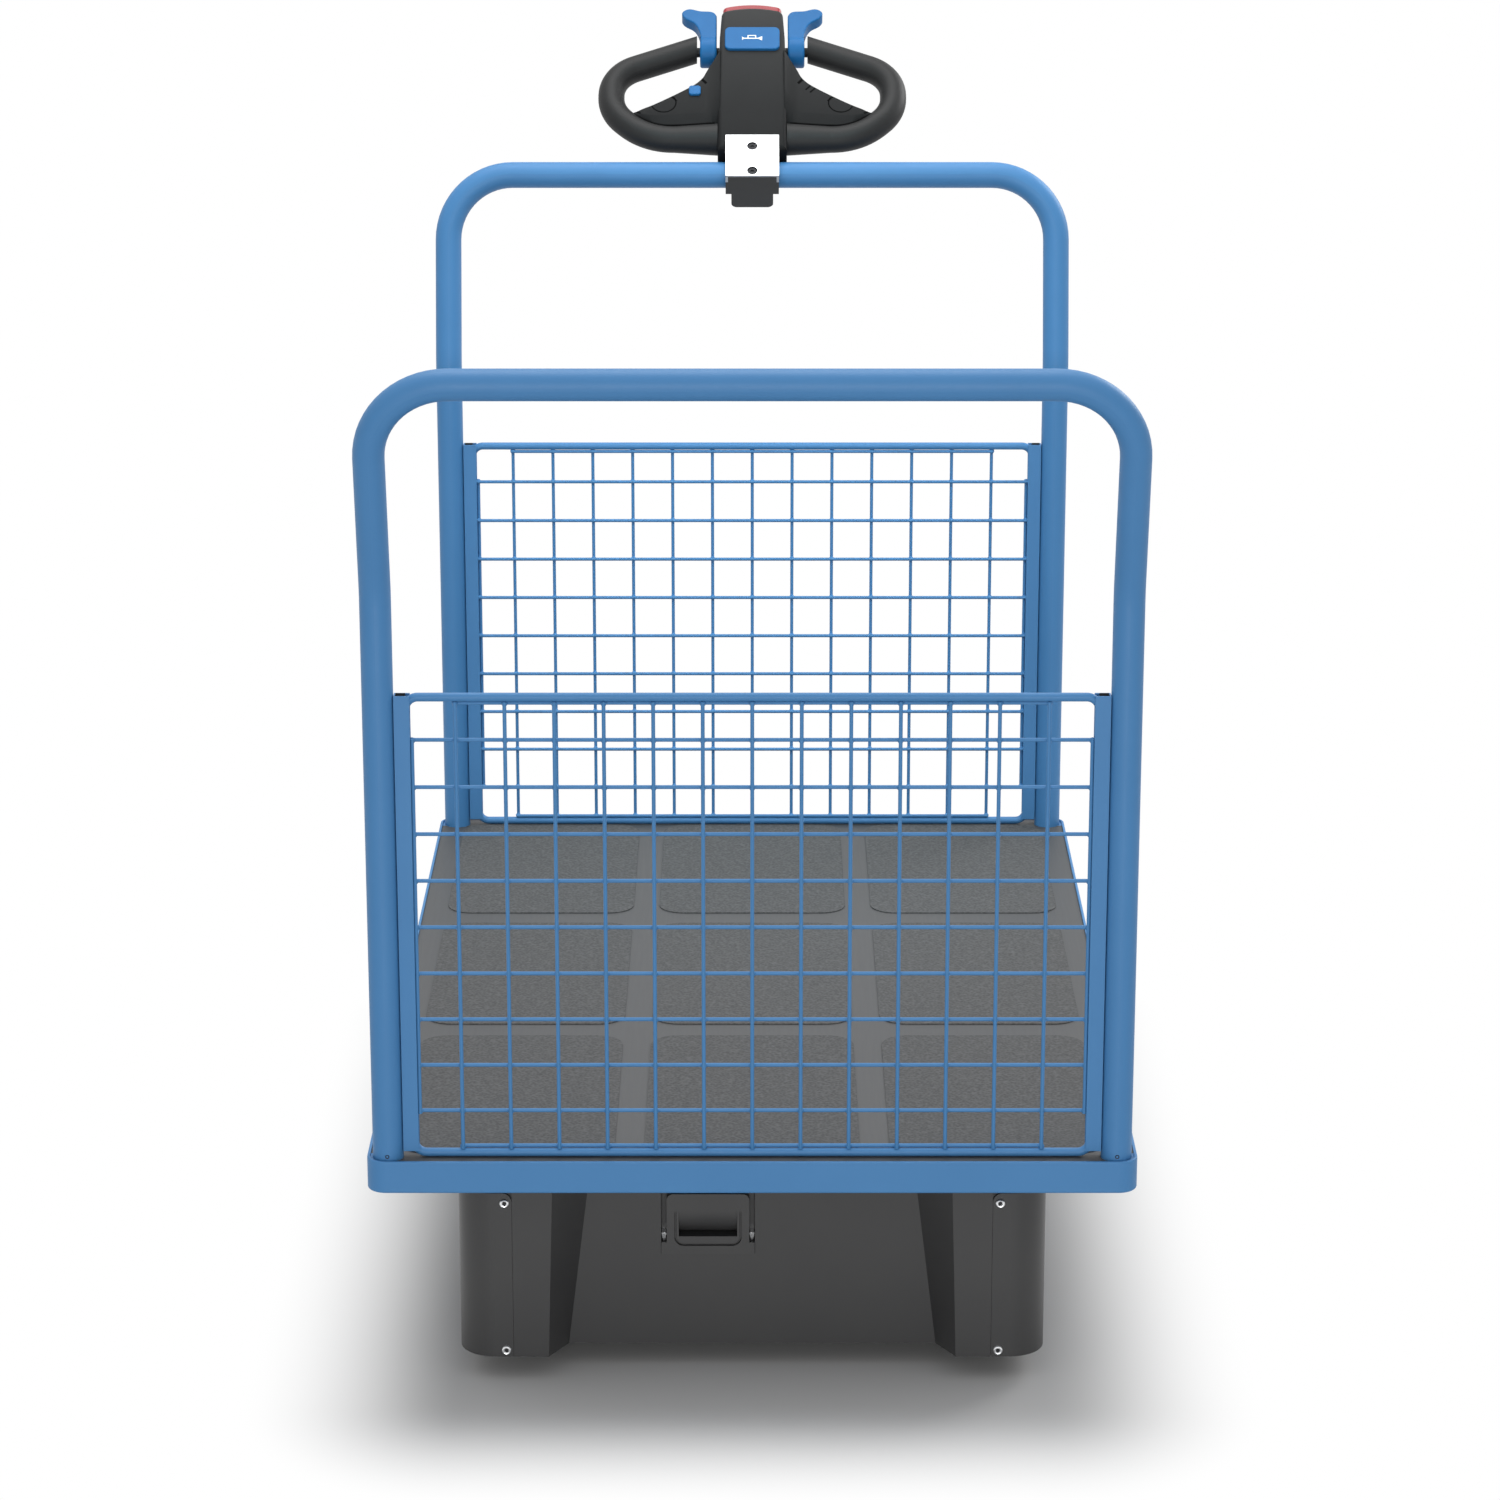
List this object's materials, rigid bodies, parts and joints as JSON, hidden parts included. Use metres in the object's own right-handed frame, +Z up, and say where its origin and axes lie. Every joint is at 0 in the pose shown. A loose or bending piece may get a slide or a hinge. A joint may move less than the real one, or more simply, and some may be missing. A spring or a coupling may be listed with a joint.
{
  "type": "electric platform cart",
  "caption": "Walk-behind powered platform cart: framed deck between two tubular bows with wire end panels, a drive unit under the front, rear swivel castors and a control head on the rear bow.",
  "frame": {"origin": "on the floor under the middle of the cart's overall box", "axes": "+X forward, away from the operator, +Y to the cart's left, +Z up"},
  "size_m": [1.4955, 0.8, 1.2881],
  "materials": {
    "blue_paint": "satin powder coat",
    "deck_board": "smooth grey facing",
    "anti_slip": "fine grained",
    "drive_plastic": "fine moulded grain",
    "battery_plastic": "satin moulded",
    "steel": "zinc plated",
    "hub_metal": "cast",
    "tyre_rubber": "solid rubber",
    "castor_zinc": "bright zinc",
    "castor_plastic": "moulded",
    "bracket_zinc": "bright zinc",
    "head_plastic": "fine moulded grain",
    "grip_rubber": "soft matt",
    "blue_plastic": "satin",
    "red_plastic": "satin"
  },
  "bodies": {
    "chassis": {"deck_frame": "blue_paint", "cross_members": "blue_paint", "corner_blocks": "blue_paint", "deck_panel": "deck_board", "deck_pads": "anti_slip", "front_bow": "blue_paint", "rear_bow": "blue_paint", "front_panel_frame": "blue_paint", "front_panel_uprights": "blue_paint", "front_panel_rails": "blue_paint", "front_panel_channels": "blue_paint", "rear_panel_frame": "blue_paint", "rear_panel_uprights": "blue_paint", "rear_panel_rails": "blue_paint", "rear_panel_channels": "blue_paint", "drive_plate": "steel", "drive_housing": "drive_plastic", "wheel_cover_left": "drive_plastic", "wheel_cover_right": "drive_plastic", "battery_pack": "battery_plastic", "drive_brackets": "steel", "drive_axle_left": "steel", "drive_axle_right": "steel", "castor_plates": "castor_zinc", "head_clamp": "head_plastic", "head_bracket": "bracket_zinc", "head_body": "head_plastic", "head_grips": "grip_rubber", "thumb_levers": "blue_plastic", "horn_button": "blue_plastic", "reverse_switch": "red_plastic", "speed_toggle": "blue_plastic"},
    "drive_wheel_left": {"drive_hub_left": "hub_metal", "drive_tyre_left": "tyre_rubber"},
    "castor_left": {"castor_fork_left": "castor_zinc", "castor_axle_left": "steel"},
    "castor_wheel_left": {"castor_rim_left": "castor_plastic", "castor_tyre_left": "tyre_rubber"},
    "drive_wheel_right": {"drive_hub_right": "hub_metal", "drive_tyre_right": "tyre_rubber"},
    "castor_right": {"castor_fork_right": "castor_zinc", "castor_axle_right": "steel"},
    "castor_wheel_right": {"castor_rim_right": "castor_plastic", "castor_tyre_right": "tyre_rubber"}
  },
  "joints": [
    {"name": "drive_spin_left", "type": "hinge", "parent": "chassis", "child": "drive_wheel_left", "pos_m": [0.50817, 0.266, 0.1], "axis": [0, 1, 0], "continuous": true},
    {"name": "castor_swivel_left", "type": "hinge", "parent": "chassis", "child": "castor_left", "pos_m": [-0.34183, 0.24, 0.22], "axis": [0, 0, 1], "continuous": true},
    {"name": "castor_roll_left", "type": "hinge", "parent": "castor_left", "child": "castor_wheel_left", "pos_m": [-0.39683, 0.24, 0.1], "axis": [0, 1, 0], "continuous": true},
    {"name": "drive_spin_right", "type": "hinge", "parent": "chassis", "child": "drive_wheel_right", "pos_m": [0.50817, -0.266, 0.1], "axis": [0, 1, 0], "continuous": true},
    {"name": "castor_swivel_right", "type": "hinge", "parent": "chassis", "child": "castor_right", "pos_m": [-0.34183, -0.24, 0.22], "axis": [0, 0, 1], "continuous": true},
    {"name": "castor_roll_right", "type": "hinge", "parent": "castor_right", "child": "castor_wheel_right", "pos_m": [-0.39683, -0.24, 0.1], "axis": [0, 1, 0], "continuous": true}
  ]
}
